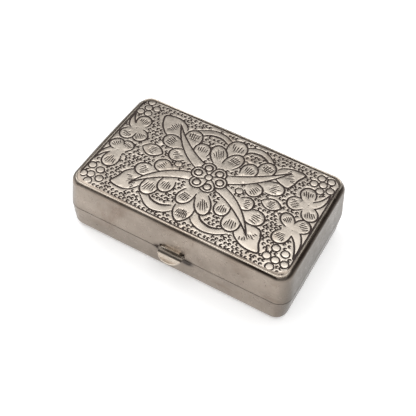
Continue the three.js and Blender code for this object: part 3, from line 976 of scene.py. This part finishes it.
def add_painted_shade(piece, amount):
    """Writes the tarnish attribute, which holds painted shade and painted reflection: amount is called with
    each point's place in millimetres.
    """
    values = [amount(*(vertex.co / MM)) for vertex in piece.data.vertices]
    piece.data.attributes.new("tarnish", "FLOAT", "POINT").data.foreach_set("value", values)


def lid_painted_reflection_and_shadow(x, y, z):
    """Painted dark reflection where the shoulder turns in to the wire, more so towards the right, and painted
    shadow beside the thumbpiece.
    """
    band_bottom, fade, past_plate = HEIGHT - 1.25, 0.55, 0.5
    middle, variation, more_right = 0.42, 0.6, 0.36
    rise = (z - band_bottom) / fade
    outer = max(abs(x) - (PLATE_HIGH[0] + past_plate), abs(y) - (PLATE_HIGH[1] + past_plate)) > -0.02
    uneven = middle + wander(x, y, z, variation, 0.09) + more_right * x / HALF_X
    band = min(max(rise, 0.0), 1.0) * uneven if outer else 0.0
    return min(1.0, band + thumb_painted_shadow(x, y, z))


# Painted shadows on the front wall at both ends of the thumbpiece: x and z of the middle, half width and half
# height.
THUMB_PAINTED_SHADOWS = (
    (THUMB_HIGH[0] + 0.9, SEAM_Z - 0.7, 1.7, 1.2),
    (THUMB_LOW[0] - 0.5, SEAM_Z + 0.1, 1.1, 0.9),
)


def thumb_painted_shadow(x, y, z):
    """Painted shadow on the front wall at both ends of the thumbpiece, larger on the right and below the
    seam.
    """
    if y > -HALF_Y + 2:
        return 0.0
    dark = 0.0
    for centre_x, centre_z, half_width, half_height in THUMB_PAINTED_SHADOWS:
        away = ((x - centre_x) / half_width) ** 2 + ((z - centre_z) / half_height) ** 2
        dark = max(dark, 2.2 * math.exp(-away))
    return min(dark, 1.0)


def make_lid_shell():
    """The lid's wall band: up the outside, over the shoulder, down to the ledge and back inside."""
    wall_steps, arc_steps = 14, 12
    shoulder_z = HEIGHT - SHOULDER_RADIUS
    rings = []
    for step in range(wall_steps):
        z = LID_BOTTOM + (shoulder_z - LID_BOTTOM) * step / wall_steps
        rings.append(case_ring(end_lean(z), 0, z))
    rings += [shoulder_ring(step / arc_steps * math.pi / 2) for step in range(arc_steps)]
    seat = WIRE_HIGH[0] - PLATE_HIGH[0] + 0.05
    rings.append(plate_ring(seat, HEIGHT - 0.3))
    rings.append(plate_ring(seat, LEDGE_TOP))
    rings.append(plate_ring(-LEDGE_WIDTH, LEDGE_TOP))
    rings.append(plate_ring(-LEDGE_WIDTH, LEDGE_BOTTOM))
    rings.append(case_ring(SHEET + end_lean(LEDGE_BOTTOM), SHEET, LEDGE_BOTTOM, uneven=0))
    rings.append(case_ring(SHEET, SHEET, LID_BOTTOM, uneven=0))
    shell = make_skinned("lid_shell", rings, SILVER_PAINTED_SHADE)
    cut_hinge(shell)
    add_bevel(shell, 0.1)
    # Painted dark reflection along the shoulder and painted shadow beside the thumbpiece.
    add_painted_shade(shell, lid_painted_reflection_and_shadow)
    settle(shell, "lid", "silver", "lid_band")


def make_border_wire():
    """The flattened wire between the plate and the shoulder, with a rounded top that wavers a little."""
    inner = 0.05
    outer = WIRE_HIGH[0] - PLATE_HIGH[0]
    middle, half = (inner + outer) / 2, (outer - inner) / 2
    top_steps = 7
    sink, crown = 0.22, 0.17
    rings = [plate_ring(outer, WIRE_LOW[2])]
    for step in range(top_steps + 1):
        angle = step / top_steps * math.pi
        level = HEIGHT - sink + crown * math.sin(angle)
        ring = plate_ring(middle + half * math.cos(angle), level)
        rings.append([(x, y, z + wander(x, y, 0, 0.03, 0.2)) for x, y, z in ring])
    rings.append(plate_ring(inner, WIRE_LOW[2]))
    wire = make_skinned("border_wire_worn", rings, SILVER_PAINTED_HIGHLIGHT, 50)
    settle(wire, "lid", "silver", "border_wire")


THUMB_ROUND = 2.6


def cove_painted_shade(_x, y, z):
    """Painted shade, brown, on the flange and in the hollow of the thumbpiece, left off at its rim and top
    edge.
    """
    strength, reach, fade = 0.72, 1.9, 1.3
    forward = THUMB_HIGH[1] - 0.5 - y
    below_edge = min(max((THUMB_HIGH[2] - 0.25 - z) / 0.3, 0), 1)
    return strength * below_edge * min(max((reach - forward) / fade, 0), 1)


def make_thumbpiece():
    """A strip that comes down the lid's front wall and sweeps out into a half-round tab."""
    half_width = THUMB_HIGH[0]
    thickness = 0.5
    wall_y = THUMB_HIGH[1]
    reach = wall_y - THUMB_LOW[1]
    top = THUMB_HIGH[2]
    turn_z = top - 0.8
    tip_z = THUMB_LOW[2] + thickness / 2
    corner = 1.9
    columns, wall_steps, sweep_steps = 36, 5, 18
    points = []
    for column in range(columns + 1):
        across = math.sin((column / columns - 0.5) * math.pi)
        x = half_width * across
        over = max(0.0, abs(x) - (half_width - corner))
        crown = top - corner + math.sqrt(max(corner**2 - over**2, 0))
        end = 0.02 + 0.98 * math.sqrt(max(1 - across**2, 0))
        last_turn = math.acos((1 - end) ** (THUMB_ROUND / 2))
        for step in range(wall_steps):
            points.append((x, wall_y - thickness / 2, crown + (turn_z - crown) * step / wall_steps))
        for step in range(sweep_steps + 1):
            turn = last_turn * step / sweep_steps
            forward = (reach - thickness / 2) * (1 - max(math.cos(turn), 0) ** (2 / THUMB_ROUND))
            drop = (turn_z - tip_z) * math.sin(turn) ** (2 / THUMB_ROUND)
            points.append((x, wall_y - thickness / 2 - forward, turn_z - drop))
    faces = grid_faces(columns + 1, wall_steps + sweep_steps + 1)
    thumb = make_piece("thumb_lip", points, faces, SILVER_PAINTED_HIGHLIGHT, 60)
    remake_faces_outward(thumb)
    thicken(thumb, thickness)
    shade(thumb.data, 50)
    # Painted shade on the flange and in the thumbpiece's hollow.
    add_painted_shade(thumb, cove_painted_shade)
    settle(thumb, "lid", "silver", "thumbpiece")


# ---------------------------------------------------------------- hinge and collar


def make_knuckle(node, body):
    """One hinge tube with eased, slightly worn rims."""
    low, high = node_box(node)
    start, end = low[0], high[0]
    rim = 0.12
    half = [
        (rim, BORE_RADIUS),
        (0, BORE_RADIUS + rim),
        (0, KNUCKLE_RADIUS - rim),
        (rim * 0.4, KNUCKLE_RADIUS - rim * 0.3),
        (rim, KNUCKLE_RADIUS),
    ]
    profile = [(start + x, radius) for x, radius in half] + [(end - x, radius) for x, radius in half[::-1]]
    tube = make_skinned(node + "_tube", hinge_rings(profile), SILVER_PAINTED_SHADE, 40)
    settle(tube, body, "silver", node)


def make_hinge_pin():
    """The wire through the knuckles, narrower at its ends."""
    radius = (PIN_HIGH[2] - PIN_LOW[2]) / 2
    start, end = PIN_LOW[0], PIN_HIGH[0]
    profile = [(start, radius * 0.7), (start + 0.15, radius), (end - 0.15, radius), (end, radius * 0.7)]
    pin = make_skinned("hinge_wire", hinge_rings(profile, steps=32), STEEL, 40, capped=True)
    settle(pin, "base", "pin_steel", "hinge_pin")


def refine(node, body, slot, material, bevel=0.0):
    """A CAD piece with its seams merged and its round stretches shaded smooth."""
    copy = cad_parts[node].data.copy()
    copy.materials.clear()
    copy.materials.append(material)
    piece = bpy.data.objects.new(node + "_fine", copy)
    bpy.context.scene.collection.objects.link(piece)
    remake_faces_outward(piece)
    shape = bmesh.new()
    shape.from_mesh(copy)
    bmesh.ops.dissolve_limit(shape, angle_limit=math.radians(0.5), verts=shape.verts, edges=shape.edges)
    shape.to_mesh(copy)
    shape.free()
    shade(copy, 30)
    if bevel:
        add_bevel(piece, bevel)
    settle(piece, body, slot, node)


# ---------------------------------------------------------------- soft fittings


def unit_grid(columns, rows):
    """Coordinates from -1 to 1 both ways over a grid."""
    return np.meshgrid(np.linspace(-1, 1, columns), np.linspace(-1, 1, rows))


def make_cushion(name, node, body, crown, down=False):
    """A velvet pad over its card: flat behind, crowned and slightly crushed in front, sides pulled in."""
    low, high = node_box(node)
    half_x, half_y = high[0], high[1]
    thick = high[2] - low[2]
    corner, rounding, lap = 3.2, 2.4, 0.02
    u, v = unit_grid(110, 66)
    x, y = round_corner(u * half_x, v * half_y, half_x, half_y, corner)
    edge = np.minimum((1 - np.abs(u)) * half_x, (1 - np.abs(v)) * half_y)
    swell = np.sqrt(1 - (1 - np.clip(edge / rounding, 0, 1)) ** 2)
    spots = list(zip(x.flat, y.flat))
    crushed = np.array([wander(a, b, 0, 0.16, 0.16) + wander(a, b, 9, 0.05, 0.6) for a, b in spots])
    rise = thick * (1 - crown) * swell + crown * thick * swell * (1 - u**2) * (1 - v**2)
    rise = np.clip(rise + crushed.reshape(x.shape) * swell * 0.6, 0, thick)
    back, facing = (high[2], -1) if down else (low[2], 1)
    pad = make_sheet(name, x, y, back + facing * rise, VELVET)
    turn_edge_down(pad, back - facing * lap)
    settle(pad, body, "velvet", node)


def make_leaf(name, node, seed):
    """A flannel leaf with pinked edges, lying in soft waves."""
    low, high = node_box(node)
    margin, thickness, clearance = 0.3, 0.25, 0.13
    half_x, half_y = high[0] - margin, high[1] - margin
    tooth, notch = 1.6, 0.55
    u, v = unit_grid(141, 69)
    x, y = u * half_x, v * half_y
    zigzag_x = np.abs((y / tooth) % 1 - 0.5) * 2 * notch
    zigzag_y = np.abs((x / tooth) % 1 - 0.5) * 2 * notch
    x = x - np.sign(u) * zigzag_x * np.clip((np.abs(u) - 0.95) / 0.05, 0, 1)
    y = y - np.sign(v) * zigzag_y * np.clip((np.abs(v) - 0.93) / 0.07, 0, 1)
    middle = (low[2] + high[2]) / 2
    room = (high[2] - low[2]) / 2 - clearance
    waves = np.array([wander(a, b, seed, 1.0, 0.13) for a, b in zip(x.flat, y.flat)]).reshape(x.shape)
    sheet = make_sheet(name, x, y, middle + room * np.clip(waves * 1.6, -1, 1), FLANNEL)
    thicken(sheet, thickness)
    settle(sheet, "base", "flannel", node)


# ---------------------------------------------------------------- studio


CAMERA_AZIMUTH = 26.01
CAMERA_ELEVATION = 50.52
CAMERA_ROLL = 4.26
CAMERA_DISTANCE = 235.5
CAMERA_LENS = 68.33
CAMERA_AIM = (-0.46, -4.78)


def make_camera():
    """The photograph's view: a short telephoto from the front right and above."""
    azimuth, elevation, roll = (math.radians(a) for a in (CAMERA_AZIMUTH, CAMERA_ELEVATION, CAMERA_ROLL))
    forward = Vector((-math.sin(azimuth), math.cos(azimuth), -math.tan(elevation))).normalized()
    level = forward.cross(Vector((0, 0, 1))).normalized()
    upright = level.cross(forward)
    right = math.cos(roll) * level + math.sin(roll) * upright
    up = -math.sin(roll) * level + math.cos(roll) * upright
    place = -forward * CAMERA_DISTANCE - right * CAMERA_AIM[0] - up * CAMERA_AIM[1]
    data = bpy.data.cameras.new("camera")
    data.lens = CAMERA_LENS
    data.clip_start = 0.01
    camera = bpy.data.objects.new("camera", data)
    turn = Matrix((right, up, -forward)).transposed().to_4x4()
    camera.matrix_world = Matrix.Translation(place * MM) @ turn
    bpy.context.scene.collection.objects.link(camera)
    bpy.context.scene.camera = camera


def make_floor():
    """A plain pale sheet under the case."""
    s = Shader("floor_paper")
    s.set("Base Color", (0.9, 0.9, 0.9, 1))
    s.set("Emission Color", (1, 1, 1, 1))
    s.set("Emission Strength", 0.4)
    s.set("Roughness", 0.9)
    half = 30_000
    corners = [(-half, -half, 0), (half, -half, 0), (half, half, 0), (-half, half, 0)]
    make_piece("floor", corners, [(0, 1, 2, 3)], s.material)


def add_softbox(name, place, target, size, power):
    """A square area light, with its place and size in millimetres."""
    data = bpy.data.lights.new(name, "AREA")
    data.shape = "RECTANGLE"
    data.size, data.size_y = (side * MM for side in size)
    data.energy = power
    light = bpy.data.objects.new(name, data)
    light.location = Vector(place) * MM
    aim = Vector(target) * MM - light.location
    light.rotation_euler = aim.to_track_quat("-Z", "Y").to_euler()
    bpy.context.scene.collection.objects.link(light)


# Brightness of the sky by the height of the direction, from level to straight up.
SKY = (
    (0.0, 0.7), (0.14, 0.6), (0.3, 0.28), (0.55, 0.2), (0.7, 0.09),
    (0.78, 0.45), (0.86, 2.6), (0.915, 3.6), (0.955, 0.9), (1.0, 0.62),
)


def make_sky():
    """Light by the height of the direction: pale low down, then dark, a bright ring, and dim overhead."""
    world = bpy.data.worlds.new("studio")
    world.use_nodes = True
    tree = world.node_tree
    direction = tree.nodes.new("ShaderNodeTexCoord")
    split = tree.nodes.new("ShaderNodeSeparateXYZ")
    ramp = tree.nodes.new("ShaderNodeValToRGB")
    tree.links.new(direction.outputs["Generated"], split.inputs["Vector"])
    tree.links.new(split.outputs["Z"], ramp.inputs["Fac"])
    tree.links.new(ramp.outputs["Color"], tree.nodes["Background"].inputs["Color"])
    fill_ramp(ramp, SKY)
    return world


def make_studio():
    bpy.context.scene.world = make_sky()
    add_softbox("left", (-520, 120, 420), (0, 0, 10), (320, 320), 0.8)
    bpy.context.scene.view_settings.view_transform = "Standard"


make_camera()
make_studio()
make_floor()
make_base_shell()
make_lid_shell()
make_engraved_plate()
make_border_wire()
make_thumbpiece()
for place in ("base_left", "lid_left", "base_centre", "lid_right", "base_right"):
    owner, side = place.split("_")
    make_knuckle(f"{owner}_knuckle_{side}", owner)
make_hinge_pin()
refine("base_collar", "base", "silver", SILVER_PAINTED_SHADE)
refine("catch_bead", "base", "silver", SILVER_PAINTED_HIGHLIGHT)
refine("base_hinge_bearer", "base", "silver", SILVER_PAINTED_SHADE, 0.12)
refine("lid_hinge_bearer", "lid", "silver", SILVER_PAINTED_SHADE, 0.12)
refine("leaf_strip", "base", "silver", SILVER_PAINTED_HIGHLIGHT, 0.1)
refine("bed_card", "base", "card", CARD)
refine("lining_card", "lid", "card", CARD)
make_cushion("velvet_bed_pad", "velvet_bed", "base", 0.25)
make_cushion("lid_lining_pad", "lid_lining", "lid", 0.25, down=True)
make_leaf("flannel_lower", "flannel_leaf_lower", 3)
make_leaf("flannel_upper", "flannel_leaf_upper", 5)
